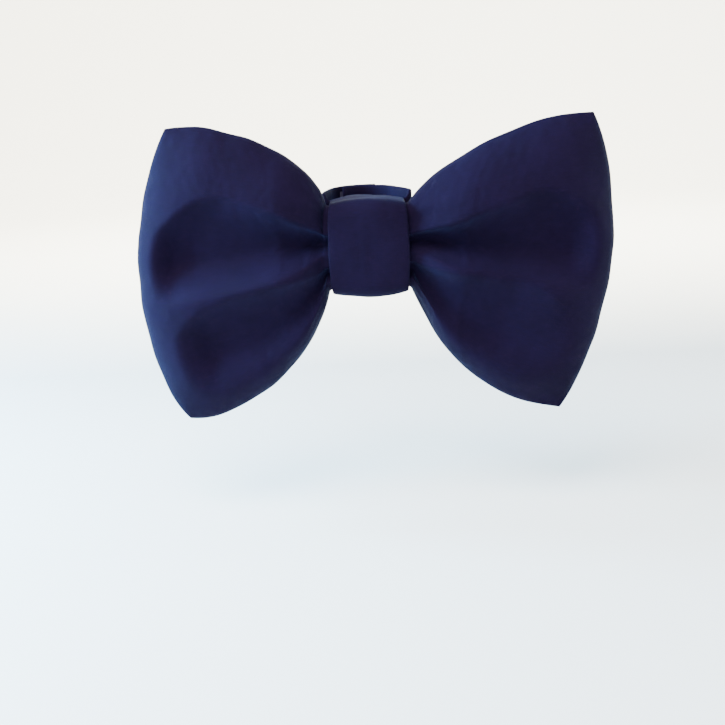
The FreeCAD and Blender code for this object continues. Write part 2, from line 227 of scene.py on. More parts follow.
# Hook-and-loop tapes, each a woven base with its hooks or loops on one side: the base's thickness, how
# far the hooks stay from its edges, its gap to the arm, how deep the hooks are rooted, how far each
# strays as a share of their pitch, how far a hook is turned in radians, and the tape's ends
TAPE_BASE = 0.42
TAPE_MARGIN = 1.0
TAPE_SEAT = 0.03
TAPE_SINK = 0.05
TAPE_NUDGE = 0.2
HOOK_TURN = 0.08
TAPE_DEGREES = (-50.0, 6.0)
LOOP_RING = INNER_RING + STRAP_WALL / 2 + TAPE_SEAT
HOOK_RING = OUTER_RING - STRAP_WALL / 2 - TAPE_SEAT

# One hook and one loop: how far each of their points stands up from the tape and aside
HOOK_SHAPE = [(0, 0), (0.35, 0.02), (0.58, 0.12), (0.66, 0.30), (0.55, 0.45), (0.40, 0.47)]
LOOP_SHAPE = [
    (0, -0.35), (0.33, -0.42), (0.58, -0.2), (0.64, 0.05), (0.52, 0.3), (0.25, 0.4), (0, 0.3),
]


# ---------------------------------------------------------------- small helpers

def smooth(x, low, high):
    """0 below low, 1 above high, and a smooth step between."""
    t = np.clip((np.asarray(x, float) - low) / (high - low), 0, 1)
    return t * t * (3 - 2 * t)


def ripple(point, scale, seed=0.0):
    """Smooth noise from -1 to 1 at a point, with features about scale millimetres apart."""
    return noise.noise(Vector(point) / scale + Vector((seed, 2.3 * seed, -1.7 * seed)))


def new_piece(name, points, faces, cloth=None):
    """A mesh object from points in millimetres, with the cloth's own flat coordinates stored on it."""
    mesh = bpy.data.meshes.new(name)
    mesh.from_pydata([tuple(p) for p in np.asarray(points, float) * MM], [], faces)
    mesh.validate()
    if cloth is not None:
        layer = mesh.attributes.new("cloth", "FLOAT_VECTOR", "POINT")
        layer.data.foreach_set("vector", (np.asarray(cloth, float) * MM).ravel())
    mesh.polygons.foreach_set("use_smooth", [True] * len(mesh.polygons))
    piece = bpy.data.objects.new(name, mesh)
    bpy.context.scene.collection.objects.link(piece)
    return piece


def points_of(piece):
    """The piece's points, in millimetres."""
    co = np.zeros(len(piece.data.vertices) * 3)
    piece.data.vertices.foreach_get("co", co)
    return co.reshape(-1, 3) / MM


def move_points(piece, points):
    piece.data.vertices.foreach_set("co", (np.asarray(points) * MM).ravel())
    piece.data.update()


def bake_modifiers(piece):
    """Replaces the piece's mesh with what its modifiers make of it."""
    graph = bpy.context.evaluated_depsgraph_get()
    baked = bpy.data.meshes.new_from_object(piece.evaluated_get(graph))
    piece.modifiers.clear()
    piece.data = baked
    baked.polygons.foreach_set("use_smooth", [True] * len(baked.polygons))


def subdivide(piece, levels=1):
    modifier = piece.modifiers.new("subdivision", "SUBSURF")
    modifier.levels = levels
    modifier.render_levels = levels
    bake_modifiers(piece)


def dress(piece, material, replaced=()):
    """Gives a piece its material and hides the CAD nodes that it stands for."""
    piece.data.materials.clear()
    piece.data.materials.append(material)
    if replaced:
        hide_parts(*replaced)
    return piece


def ring_sweep(rings, closed):
    """Faces that join rings of points, each with the same number of points, in order."""
    count = len(rings[0])
    total = len(rings)
    faces = []
    for i in range(total if closed else total - 1):
        a = i * count
        b = ((i + 1) % total) * count
        for j in range(count):
            k = (j + 1) % count
            faces.append((a + j, b + j, b + k, a + k))
    if not closed:
        faces.append(tuple(range(count)))
        faces.append(tuple(reversed(range((total - 1) * count, total * count))))
    return faces


def path_length(points):
    """How far along a path each of its points is."""
    steps = np.linalg.norm(np.diff(points, axis=0), axis=1)
    return np.concatenate([[0], np.cumsum(steps)])


def resample(points, count):
    """The same path with evenly spaced points."""
    points = np.asarray(points, float)
    along = path_length(points)
    even = np.linspace(0, along[-1], count)
    return np.stack([np.interp(even, along, points[:, k]) for k in range(points.shape[1])], axis=1)


# ---------------------------------------------------------------- materials

def node_maker(material):
    """A short way to add nodes to a material and link them."""
    tree = material.node_tree

    def add(kind, inputs=None, **settings):
        node = tree.nodes.new(kind)
        for key, value in settings.items():
            setattr(node, key, value)
        for key, value in (inputs or {}).items():
            if isinstance(value, bpy.types.NodeSocket):
                tree.links.new(value, node.inputs[key])
            else:
                node.inputs[key].default_value = value
        return node

    return add


def math_node(add, operation, first, second=0.0):
    return add("ShaderNodeMath", {0: first, 1: second}, operation=operation).outputs[0]


def blank_material(name):
    material = bpy.data.materials.new(name)
    material.use_nodes = True
    material.node_tree.nodes.clear()
    return material


def colour_ramp(add, factor, dark, light, low=0.0, high=1.0):
    """A colour that goes from dark to light while factor goes from low to high."""
    ramp = add("ShaderNodeValToRGB", {0: factor})
    ends = ramp.color_ramp.elements
    ends[0].position = low
    ends[0].color = (*dark, 1)
    ends[1].position = high
    ends[1].color = (*light, 1)
    return ramp.outputs[0]


def finish_material(add, inputs):
    """Ends a material in a shader with these inputs."""
    shader = add("ShaderNodeBsdfPrincipled", inputs)
    add("ShaderNodeOutputMaterial", {"Surface": shader.outputs[0]})


def weave_height(add, coordinates, pitch):
    """Height of a plain weave: two crossing sets of round yarns that pass over and under each other."""
    split = add("ShaderNodeSeparateXYZ", {0: coordinates})
    turns = math.pi / pitch
    warp = math_node(add, "SINE", math_node(add, "MULTIPLY", split.outputs[0], turns))
    weft = math_node(add, "SINE", math_node(add, "MULTIPLY", split.outputs[1], turns))
    crossing = math_node(add, "MULTIPLY", warp, weft)
    ridges = math_node(
        add, "ADD", math_node(add, "ABSOLUTE", warp), math_node(add, "ABSOLUTE", weft)
    )
    lifted = math_node(add, "MULTIPLY", crossing, 0.35)
    return math_node(add, "ADD", math_node(add, "MULTIPLY", ridges, 0.5), lifted)


def cloth_material(name, dark, light, sheen, pitch, grain, coordinates="cloth"):
    """Woven cloth. dark and light are the colours in the weave's gaps and on its yarns.

    sheen is its weight, its roughness and its tint, and pitch is the distance between two yarns.
    """
    material = blank_material(name)
    add = node_maker(material)
    if coordinates == "cloth":
        place = add("ShaderNodeAttribute", attribute_name="cloth").outputs["Vector"]
    else:
        place = add("ShaderNodeTexCoord").outputs["Object"]
    weave = weave_height(add, place, pitch * MM)
    slubs = add("ShaderNodeMapping", {"Vector": place, "Scale": (260.0, 1300.0, 900.0)})
    slub_noise = add(
        "ShaderNodeTexNoise", {"Vector": slubs.outputs[0], "Scale": 1.0, "Detail": 3.0}
    ).outputs[0]
    cloud_noise = add(
        "ShaderNodeTexNoise", {"Vector": place, "Scale": 38.0, "Detail": 4.0, "Roughness": 0.6}
    ).outputs[0]
    shade = math_node(add, "MULTIPLY", weave, 0.30)
    shade = math_node(add, "ADD", shade, math_node(add, "MULTIPLY", slub_noise, grain))
    shade = math_node(add, "ADD", shade, math_node(add, "MULTIPLY", cloud_noise, 0.45))
    colour = colour_ramp(add, shade, dark, light, 0.25, 0.95)
    roughness = add(
        "ShaderNodeMapRange", {"Value": slub_noise, "To Min": 0.72, "To Max": 0.92}
    ).outputs[0]
    height = math_node(add, "ADD", weave, math_node(add, "MULTIPLY", slub_noise, 1.2))
    bump = add("ShaderNodeBump", {"Height": height, "Strength": 0.45, "Distance": 0.00012})
    finish_material(add, {
        "Base Color": colour,
        "Roughness": roughness,
        "Normal": bump.outputs[0],
        "Sheen Weight": sheen[0],
        "Sheen Roughness": sheen[1],
        "Sheen Tint": (*sheen[2], 1),
        "Specular IOR Level": 0.04,
    })
    return material


def fibre_material(name, dark, light, scale, bump_depth):
    """Unwoven fibre, such as wadding, interfacing felt or the strap's stiffener."""
    material = blank_material(name)
    add = node_maker(material)
    place = add("ShaderNodeTexCoord").outputs["Object"]
    stretch = add("ShaderNodeMapping", {"Vector": place, "Scale": (scale, scale * 3.0, scale)})
    fibres = add(
        "ShaderNodeTexNoise",
        {"Vector": stretch.outputs[0], "Scale": 1.0, "Detail": 6.0, "Distortion": 1.6},
    ).outputs[0]
    clumps = add("ShaderNodeTexVoronoi", {"Vector": place, "Scale": scale * 0.4}).outputs[0]
    shade = math_node(add, "ADD", fibres, math_node(add, "MULTIPLY", clumps, 0.3))
    colour = colour_ramp(add, shade, dark, light, 0.3, 0.85)
    bump = add("ShaderNodeBump", {"Height": shade, "Strength": 0.6, "Distance": bump_depth * MM})
    finish_material(add, {
        "Base Color": colour,
        "Roughness": 0.9,
        "Normal": bump.outputs[0],
        "Sheen Weight": 0.2,
    })
    return material


def thread_material(name, dark, light, pitch):
    """Twisted thread or the loops of a tape: fine slanting bands."""
    material = blank_material(name)
    add = node_maker(material)
    place = add("ShaderNodeTexCoord").outputs["Object"]
    slant = add(
        "ShaderNodeMapping", {"Vector": place, "Rotation": (0.6, 0.5, 0.7), "Scale": (1.0, 1.0, 1.0)}
    )
    bands = add(
        "ShaderNodeTexWave",
        {"Vector": slant.outputs[0], "Scale": 1 / (pitch * MM * 20), "Distortion": 1.5, "Detail": 2.0},
    ).outputs["Fac"]
    colour = colour_ramp(add, bands, dark, light)
    bump = add("ShaderNodeBump", {"Height": bands, "Strength": 0.5, "Distance": 0.00008})
    finish_material(add, {
        "Base Color": colour,
        "Roughness": 0.6,
        "Normal": bump.outputs[0],
        "Specular IOR Level": 0.08,
    })
    return material


def nylon_material(name, dark, light):
    """Moulded or woven nylon, slightly glossy."""
    material = blank_material(name)
    add = node_maker(material)
    place = add("ShaderNodeTexCoord").outputs["Object"]
    specks = add("ShaderNodeTexNoise", {"Vector": place, "Scale": 900.0, "Detail": 3.0}).outputs[0]
    colour = colour_ramp(add, specks, dark, light)
    roughness = add(
        "ShaderNodeMapRange", {"Value": specks, "To Min": 0.35, "To Max": 0.6}
    ).outputs[0]
    bump = add("ShaderNodeBump", {"Height": specks, "Strength": 0.3, "Distance": 0.0001})
    finish_material(add, {
        "Base Color": colour,
        "Roughness": roughness,
        "Normal": bump.outputs[0],
        "Specular IOR Level": 0.16,
    })
    return material


NAVY_DARK = (0.0018, 0.0007, 0.0048)
NAVY_LIGHT = (0.0063, 0.0028, 0.0170)
NAVY_SHEEN = (0.045, 0.35, (0.16, 0.42, 1.0))
NAVY_CLOTH = (NAVY_DARK, NAVY_LIGHT, NAVY_SHEEN, 0.32, 0.35)
COTTON = cloth_material("navy_cotton", *NAVY_CLOTH)
LINING_CLOTH = fibre_material(
    "interfacing_felt", (0.55, 0.55, 0.53), (0.85, 0.85, 0.82), 500.0, 0.15
)
WADDING = fibre_material("polyester_wadding", (0.62, 0.62, 0.60), (0.9, 0.9, 0.88), 260.0, 0.8)
STIFFENER = fibre_material("strap_stiffener", (0.50, 0.50, 0.47), (0.78, 0.78, 0.75), 800.0, 0.1)
THREAD = thread_material("navy_thread", (0.004, 0.003, 0.012), (0.014, 0.012, 0.042), 0.25)
HOOKS = nylon_material("hook_nylon", (0.0035, 0.0030, 0.011), (0.010, 0.009, 0.028))
LOOPS = thread_material("loop_pile", (0.004, 0.0034, 0.013), (0.012, 0.011, 0.038), 0.3)


# ---------------------------------------------------------------- lobes

def seam_curve(bends, root_z, u):
    """Points along a seam from the knot to its corner."""
    ends = np.array([(LOBE_HINGE.x, root_z), *bends], float)
    v = 1 - u
    weights = np.stack([v ** 3, 3 * v * v * u, 3 * v * u * u, u ** 3], axis=-1)
    return weights @ ends


def hollow(across, centre, width):
    """A shallow round-bottomed dip across a lobe."""
    return np.exp(-(((across - centre) / width) ** 2))


def trough(across, crest, valley, climb):
    """A trough that drops from a sharp crest to its valley and climbs back gently."""
    drop = np.clip((crest - across) / (crest - valley), 0, 1)
    return drop * (2 - drop) * (1 - smooth(valley - across, 0, climb))


def crest_line(table, u):
    """Where a hollow's crest is across the lobe, from a table, with its corners rounded off."""
    steps = np.linspace(-CREST_ROUNDING, CREST_ROUNDING, 7)
    return np.mean([np.interp(u + step, *table) for step in steps], axis=0)


def front_hollows(lobe, u, across):
    """How far the two hollows that spread from the knot sink into a lobe's front."""
    opened = smooth(u, 0, FRONT_OPEN_AT)
    sink = 0
    for (name, shape), end in zip(FRONT_HOLLOWS.items(), lobe["hollow_ends"]):
        climb = shape["climb"][0] + shape["climb"][1] * opened
        depth = (shape["depth"][0] + shape["depth"][1] * opened) * (1 - smooth(u, *end))
        crest = crest_line(lobe[name + "_crest"], u)
        sink = sink + trough(across, crest, shape["valley"], climb) * depth
    return sink


def back_hollows(u, across):
    """The single shallow hollow in a lobe's back."""
    near, further = BACK_HOLLOW["depth"]
    depth = (near + further * smooth(u, 0, BACK_OPEN_AT)) * (1 - smooth(u, *BACK_FADE))
    width = BACK_HOLLOW["width"][0] + BACK_HOLLOW["width"][1] * u
    return hollow(across, BACK_HOLLOW["valley"], width) * depth


def crowded(values, crowding):
    """Values from 0 or -1 to 1, each moved a little towards its end of the range away from 0."""
    return (1 - crowding) * values + crowding * np.sin(values * math.pi / 2)


def lobe_sheet(lobe, side):
    """The grid of points of one face of a lobe, [column, row], with its flat coordinates.

    Columns run from inside the knot to the outer seam and rows from the bottom seam to the top seam.
    """
    stations = crowded(np.linspace(0, 1, COLUMNS + 1), COLUMN_CROWDING)
    hidden = np.linspace(-HIDDEN_LENGTH, 0, HIDDEN_COLUMNS + 1)[:-1]
    u = np.concatenate([np.zeros(HIDDEN_COLUMNS), stations])[:, None]
    inward = np.concatenate([hidden, np.zeros(COLUMNS + 1)])[:, None]
    across = crowded(np.linspace(-1, 1, ROWS + 1), ROW_CROWDING)[None, :]
    top = seam_curve(lobe["top"], ROOT_HALF_HEIGHT, u[:, 0])
    bottom = seam_curve(lobe["bottom"], -ROOT_HALF_HEIGHT, u[:, 0])
    for seam, start in ((top, 0.0), (bottom, BOTTOM_SEAM_START)):
        uneven = [
            ripple((start + SEAM_LENGTH * v, 0, 0), SEAM_WOBBLE_LENGTH, lobe["seed"]) for v in u[:, 0]
        ]
        seam[:, 1] += SEAM_WOBBLE * np.array(uneven) * smooth(u[:, 0], 0.08, 0.25)
    chord = top - bottom
    half = np.linalg.norm(chord, axis=1) / 2
    lean = (chord[:, 0] / (2 * half))[:, None]
    share = (1 + across) / 2
    uneven = np.array([
        ripple((0, OUTER_SEAM_HALF_LENGTH * r, 0), OUTER_WOBBLE_LENGTH, lobe["seed"])
        for r in across[0]
    ])
    bow = (lobe["bow"] * u ** 2 + SEAM_WOBBLE * uneven * u ** 8) * (1 - across ** 2)
    high, low = lobe["blunt"]
    corner = u ** 10 * (high * np.clip(across, 0, 1) ** 8 + low * np.clip(-across, 0, 1) ** 8)
    drawn_in = corner * CORNER_SHARE
    x = bottom[:, :1] + chord[:, :1] * share + bow * np.sqrt(1 - lean ** 2) + inward - drawn_in
    z = bottom[:, 1:] + chord[:, 1:] * share - bow * lean - np.sign(across) * drawn_in
    root, swell = FRONT_DEPTHS if side < 0 else BACK_DEPTHS
    roundness = SECTION_ROUNDNESS[0] + SECTION_ROUNDNESS[1] * smooth(u, 0, 0.8)
    rim = np.clip(1 - u ** 6, 0, 1) ** 0.62
    depth = (root + (swell - root) * smooth(u, 0, FULL_DEPTH_AT)) * rim
    section = np.clip(1 - np.abs(across) ** 3.0, 0, 1) ** roundness
    dent = front_hollows(lobe, u, across) if side < 0 else back_hollows(u, across)
    depth = (depth - dent * np.minimum(rim * 1.2, 1)) * section
    relief = np.maximum(depth, 0) * 0.2 * (1 - u) ** 3 * (inward == 0)
    y = LOBE_HINGE.y + side * np.maximum(depth, 0.0)
    grid = np.stack([lobe["sign"] * (x + relief), y + 0 * x, z], axis=-1)
    flat_x = path_length(grid[:, ROWS // 2])[:, None] + 0 * across
    flat_y = across * CLOTH_HALF_HEIGHT + 0 * u
    return grid, np.stack([flat_x, flat_y, side * CLOTH_SIDE_OFFSET + 0 * flat_x], axis=-1)


def pillow_faces(columns, rows):
    """Faces and point order of two sheets joined along their bottom, top and outer edges."""
    front = np.arange((columns + 1) * (rows + 1)).reshape(columns + 1, rows + 1)
    back = front.copy()
    free = np.arange(columns * (rows - 1)).reshape(columns, rows - 1) + front.size
    back[:-1, 1:-1] = free
    faces = []
    for i in range(columns):
        for j in range(rows):
            faces.append((front[i, j], front[i + 1, j], front[i + 1, j + 1], front[i, j + 1]))
            faces.append((back[i, j], back[i, j + 1], back[i + 1, j + 1], back[i + 1, j]))
    return front, back, [tuple(int(k) for k in face) for face in faces]


def root_cap(front, back):
    """The face that closes a pillow's open end."""
    return tuple(int(k) for k in [*back[0, 1:-1], *front[0, ::-1]])


def pillow(name, front_grid, back_grid, cloth_grids, sign, capped=True):
    """A closed pillow between two grids of points that share their edges."""
    columns, rows = front_grid.shape[0] - 1, front_grid.shape[1] - 1
    front, back, faces = pillow_faces(columns, rows)
    if capped:
        faces.append(root_cap(front, back))
    if sign < 0:
        faces = [tuple(reversed(face)) for face in faces]
    points = np.concatenate([front_grid.reshape(-1, 3), back_grid[:-1, 1:-1].reshape(-1, 3)])
    cloth = np.concatenate([cloth_grids[0].reshape(-1, 3), cloth_grids[1][:-1, 1:-1].reshape(-1, 3)])
    return new_piece(name, points, faces, cloth), front, back


def crease_seam(piece, front, amount):
    """Keeps the seam line crisp when the mesh is subdivided."""
    seam = [*front[:, 0], *front[-1, 1:-1], *front[::-1, -1]]
    pairs = {frozenset((int(a), int(b))) for a, b in zip(seam, seam[1:])}
    layer = piece.data.attributes.new("crease_edge", "FLOAT", "EDGE")
    for edge in piece.data.edges:
        if frozenset(edge.vertices) in pairs:
            layer.data[edge.index].value = amount


def relax_cloth(piece, firm):
    """Lets the cloth settle with a little padding pressure, then limits how far each point moved."""
    scene = bpy.context.scene
    start = points_of(piece)
    group = piece.vertex_groups.new(name="firm")
    for index, weight in enumerate(firm):
        group.add([index], float(weight), "REPLACE")
    modifier = piece.modifiers.new("cloth", "CLOTH")
    cloth = modifier.settings
    cloth.quality = 5
    cloth.mass = 0.15
    cloth.tension_stiffness = 18
    cloth.compression_stiffness = 14
    cloth.shear_stiffness = 6
    cloth.bending_stiffness = 2.0
    cloth.air_damping = 3
    cloth.shrink_min = -0.004
    cloth.vertex_group_mass = "firm"
    cloth.pin_stiffness = 0.6
    cloth.use_pressure = True
    cloth.uniform_pressure_force = 0.35
    cloth.effector_weights.gravity = 0
    modifier.collision_settings.use_collision = False
    modifier.point_cache.frame_start = 1
    modifier.point_cache.frame_end = SETTLE_FRAMES
    scene.frame_start = 1
    scene.frame_end = SETTLE_FRAMES
    for number in range(1, SETTLE_FRAMES + 1):
        scene.frame_set(number)
    graph = bpy.context.evaluated_depsgraph_get()
    settled = bpy.data.meshes.new_from_object(piece.evaluated_get(graph))
    moved = np.zeros(len(settled.vertices) * 3)
    settled.vertices.foreach_get("co", moved)
    moved = moved.reshape(-1, 3) / MM - start
    bpy.data.meshes.remove(settled)
    piece.modifiers.clear()
    piece.vertex_groups.clear()
    length = np.linalg.norm(moved, axis=1, keepdims=True)
    moved *= np.minimum(1, SETTLE_CAP / np.maximum(length, 1e-6))
    move_points(piece, start + moved)
    scene.frame_set(1)


def seam_details(piece, front, back, lobe):
    """Puckers along the seams and fine gathers beside the knot, pressed into the settled cloth."""
    points = points_of(piece)
    normals = np.zeros(len(points) * 3)
    piece.data.vertices.foreach_get("normal", normals)
    normals = normals.reshape(-1, 3)
    columns, rows = front.shape[0] - 1, front.shape[1] - 1
    for grid in (front, back):
        for i in range(HIDDEN_COLUMNS + 1, columns + 1):
            for j in range(rows + 1):
                index = grid[i, j]
                if grid is back and (j in (0, rows) or i == columns):
                    continue
                point = points[index]
                u = (i - HIDDEN_COLUMNS) / COLUMNS
                to_seam = min(
                    np.linalg.norm(point - points[front[i, 0]]),
                    np.linalg.norm(point - points[front[i, rows]]),
                    np.linalg.norm(point - points[front[columns, j]]),
                )
                near_seam = math.exp(-((to_seam - PUCKER_FROM_SEAM) / PUCKER_SPREAD) ** 2)
                pucker = ripple(point, PUCKERS[0], lobe["seed"]) * PUCKERS[1] * near_seam
                broad = ripple(point, BROAD_WAVES[0], lobe["seed"]) * BROAD_WAVES[1]
                pleat = (4 * u, j / rows * GATHERS[0], 0)
                gather = ripple(pleat, 1.0, lobe["seed"]) * GATHERS[1] * (1 - u) ** 3
                rise = pucker + broad + gather
                points[index] += normals[index] * rise * smooth(to_seam, 0, 3) * smooth(u, 0, 0.08)
    move_points(piece, points)


def inner_layer(name, front_grid, back_grid, cloth_grids, sign, inset, window):
    """A closed layer inside a lobe, a set distance in from both faces, over part of the lobe."""
    first, last, margin = window
    columns = slice(first, last + 1)
    rows = slice(margin, front_grid.shape[1] - margin)
    f = front_grid[columns, rows]
    b = back_grid[columns, rows]
    gap = b - f
    distance = np.linalg.norm(gap, axis=-1, keepdims=True)
    share = np.minimum(inset / np.maximum(distance, 1e-6), 0.45)
    front_in, back_in = f + gap * share, b - gap * share
    middle = (front_in + back_in) / 2
    for edge in ((slice(None), 0), (slice(None), -1), (-1, slice(None))):
        front_in[edge] = middle[edge]
        back_in[edge] = middle[edge]
    cloths = [grid[columns, rows] for grid in cloth_grids]
    piece, _, _ = pillow(name, front_in, back_in, cloths, sign)
    subdivide(piece)
    return piece


def lobe_pieces(side):
    lobe = LOBES[side]
    front_grid, front_cloth = lobe_sheet(lobe, -1)
    back_grid, back_cloth = lobe_sheet(lobe, 1)
    cloths = (front_cloth, back_cloth)
    cover, front, back = pillow(
        side + "_pillow_cloth", front_grid, back_grid, cloths, lobe["sign"], capped=False
    )
    firm = np.full(len(cover.data.vertices), SETTLE_FIRMNESS)
    for i in range(front.shape[0]):
        u = max(i - HIDDEN_COLUMNS, 0) / COLUMNS
        hold = max(1 - 5 * u, SETTLE_FIRMNESS)
        firm[front[i]] = hold
        firm[back[i]] = hold
    firm[front[: HIDDEN_COLUMNS + 1].ravel()] = 1
    firm[back[: HIDDEN_COLUMNS + 1].ravel()] = 1
    relax_cloth(cover, firm)
    seam_details(cover, front, back, lobe)
    settled = points_of(cover)
    front_grid, back_grid = settled[front], settled[back]
    bpy.data.objects.remove(cover)
    cover, front, back = pillow(
        side + "_pillow_cloth", front_grid, back_grid, cloths, lobe["sign"]
    )
    crease_seam(cover, front, 0.8)
    subdivide(cover)
    last = front_grid.shape[0] - 1
    dress(cover, COTTON, [side + "_front_panel", side + "_back_panel"])

    def layer(name, setback, first, left_out, margin):
        return inner_layer(
            side + name, front_grid, back_grid, cloths, lobe["sign"], setback,
            (first, last - left_out, margin),
        )

    lining = layer("_lining", PANEL + LINING_SETBACK, *LINING_MARGINS)
    dress(lining, LINING_CLOTH, [side + "_front_interfacing", side + "_back_interfacing"])
    filling = layer("_padding", PANEL + LINING + PADDING_SETBACK, *PADDING_MARGINS)
    dress(filling, WADDING, [side + "_wadding"])
    turning = layer(
        "_seam_turning", PANEL + LINING + TURNING_SETBACK, last - TURNING_COLUMNS, *TURNING_MARGINS
    )
    dress(turning, COTTON, [side + "_seam_allowance"])
    for piece in (cover, lining, filling):
        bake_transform(piece)
    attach(turning, side + "_lobe")


def waist_pieces():
    """The pinched middle of the pillow, inside the knot."""
    lobe = LOBES["right"]
    section, cloth = lobe_sheet(lobe, -1)
    section_back, cloth_back = lobe_sheet(lobe, 1)
    reach = LOBE_HINGE.x - HIDDEN_LENGTH + WAIST_TUCK
    stations = np.linspace(-reach, reach, WAIST_RINGS)

    def stretched(grid, inset):
        rings = np.repeat(grid[:1], len(stations), axis=0)
        rings[:, :, 0] = stations[:, None]
        shrink = 1 - inset / WAIST_HALF_DEPTH
        rings[:, :, 1] = LOBE_HINGE.y + (rings[:, :, 1] - LOBE_HINGE.y) * shrink
        rings[:, :, 2] *= 1 - inset / ROOT_HALF_HEIGHT
        return rings

    pleats = ["waist_front_pleats", "waist_back_pleats"]
    layers = [
        ("waist_cloth", WAIST_CLOTH_INSET, "navy_cotton", COTTON, pleats),
        ("waist_padding", WAIST_PADDING_INSET, "wadding", WADDING, ["waist_wadding"]),
    ]
    for name, inset, slot, material, replaced in layers:
        front_rings = stretched(section, inset)
        back_rings = stretched(section_back, inset)
        rings = [np.concatenate([f, b[-2:0:-1]]) for f, b in zip(front_rings, back_rings)]
        flat = np.concatenate([cloth[0], cloth_back[0][-2:0:-1]])
        points = np.concatenate(rings)
        cloths = np.concatenate([flat + np.array([x, 0, 0]) for x in stations])
        piece = new_piece(name, points, ring_sweep(rings, closed=False), cloths)
        dress(piece, material, replaced)
        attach(piece, "knot")


# ---------------------------------------------------------------- knot band

def band_outline(inset, count):
    """Points round the knot's section in (y, z), evenly spaced, starting at the middle of its back."""
    back, front, high = BAND_HIGH.y - inset, BAND_LOW.y + inset, BAND_HALF_HEIGHT - inset
    corners = [
        ((back, high), BAND_CORNERS[1] - inset, (-1, -1), 0),
        ((front, high), BAND_CORNERS[0] - inset, (1, -1), 90),
        ((front, -high), BAND_CORNERS[0] - inset, (1, 1), 180),
        ((back, -high), BAND_CORNERS[1] - inset, (-1, 1), 270),
    ]
    steps = 12
    outline = [(back, 0)]
    for (y, z), radius, (in_y, in_z), first in corners:
        centre = (y + in_y * radius, z + in_z * radius)
        for step in range(steps + 1):
            angle = math.radians(first + 90 / steps * step)
            outline.append((centre[0] + radius * math.cos(angle), centre[1] + radius * math.sin(angle)))
    outline.append((back, 0))
    return resample(outline, count + 1)[:-1]


def band_profile(half_width, wall, count):
    """The band's own section: how far across it and how far into its wall each point is."""
    radius = wall / 2
    outer = [(x, 0.0) for x in np.linspace(-half_width + radius, half_width - radius, count)]
    rim = [
        (half_width - radius + radius * math.sin(a), radius - radius * math.cos(a))
        for a in np.linspace(0, math.pi, 7)[1:-1]
    ]
    inner = [(x, wall) for x, _ in reversed(outer)]
    other_rim = [(-x, wall - depth) for x, depth in rim]
    return outer + rim + inner + other_rim


def band_point(centre, normal, x, depth, seed):
    """A point of the band, crowned along X, drawn in at its corners and slightly uneven."""
    level = abs(centre[1]) / BAND_HALF_HEIGHT
    width = 1 - BAND_NARROWING * level ** 2 / BAND_HALF_WIDTH
    edge = (centre[0], centre[1], 3 * math.copysign(1, x))
    width += BAND_EDGE_WANDER[0] * ripple(edge, BAND_EDGE_WANDER[1], seed)
    across = x / BAND_HALF_WIDTH
    is_front = smooth(-centre[0], 20, 40)
    crown = BAND_CROWN * across ** 2 * (0.35 + 0.65 * level ** 4)
    swell = BAND_SWELL * (1 - across ** 4)
    wave_height = BAND_WAVES[0] + 0.5 * level ** 4
    wave = wave_height * ripple((x, centre[0], centre[1]), BAND_WAVES[1], seed)
    along = (x, centre[0] * BAND_CREASE_STRETCH, centre[1] * BAND_CREASE_STRETCH)
    crease = BAND_CREASES[0] * ripple(along, BAND_CREASES[1], seed + 2)
    rise = (swell - crown + wave + crease) * (0.25 + 0.75 * max(is_front, level ** 4))
    out = rise - depth
    return (x * width, centre[0] + normal[0] * out, centre[1] + normal[1] * out)


def band_layer(name, inset, wall, half_width):
    """A loop of cloth round the waist."""
    outline = band_outline(inset, BAND_AROUND)
    tangent = np.roll(outline, -1, axis=0) - np.roll(outline, 1, axis=0)
    tangent /= np.linalg.norm(tangent, axis=1, keepdims=True)
    normals = np.stack([tangent[:, 1], -tangent[:, 0]], axis=1)
    middle = np.array([(BAND_LOW.y + BAND_HIGH.y) / 2, 0])
    if np.sum(normals[0] * (outline[0] - middle)) < 0:
        normals = -normals
    profile = band_profile(half_width, wall, BAND_ACROSS)
    rings = [
        [band_point(centre, normal, x, depth, BAND_SEED) for x, depth in profile]
        for centre, normal in zip(outline, normals)
    ]
    around = path_length(np.concatenate([outline, outline[:1]]))
    cloth = [(x + 2 * depth, s, depth) for s in around[:-1] for x, depth in profile]
    points = np.concatenate([np.array(ring) for ring in rings])
    piece = new_piece(name, points, ring_sweep(rings, closed=True), cloth)
    subdivide(piece)
    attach(piece, "knot")
    return piece


def knot_pieces():
    band = band_layer("knot_cloth", 0.0, BAND_WALL, BAND_HALF_WIDTH)
    dress(band, COTTON, ["knot_band"])
    lining = band_layer(
        "knot_lining", BAND_WALL + BAND_LINING_GAP, LINING, BAND_HALF_WIDTH - BAND_LINING_MARGIN
    )
    dress(lining, LINING_CLOTH, ["knot_band_interfacing"])


# ---------------------------------------------------------------- strap

def arm_path(ring, end_degrees):
    """The middle line of a strap arm in plan, on the right: out of the knot and round the post."""
    start_x = BAND_HALF_WIDTH - STRAP_ENTRY
    shoulder = np.array(STRAP_SHOULDER)
    bearing = math.atan2(shoulder[0], shoulder[1])
    touch = bearing - math.acos(ring / np.linalg.norm(shoulder))
    path = [
        (start_x, STRAP_HINGE.y),
        (start_x + ARM_LEAD, STRAP_HINGE.y),
        (STRAP_HINGE.x - ARM_TURN_START[0], STRAP_HINGE.y + ARM_TURN_START[1]),
        (STRAP_SHOULDER[0] - ARM_TURN_END[0], STRAP_HINGE.y + ARM_TURN_END[1]),
        STRAP_SHOULDER,
    ]
    for angle in np.linspace(touch, math.radians(end_degrees), 30):
        path.append((ring * math.sin(angle), ring * math.cos(angle)))
    path = resample(path, ARM_STATIONS)
    for _ in range(ARM_SMOOTHINGS):
        path[1:-1] = (path[:-2] + 2 * path[1:-1] + path[2:]) / 4
    return path


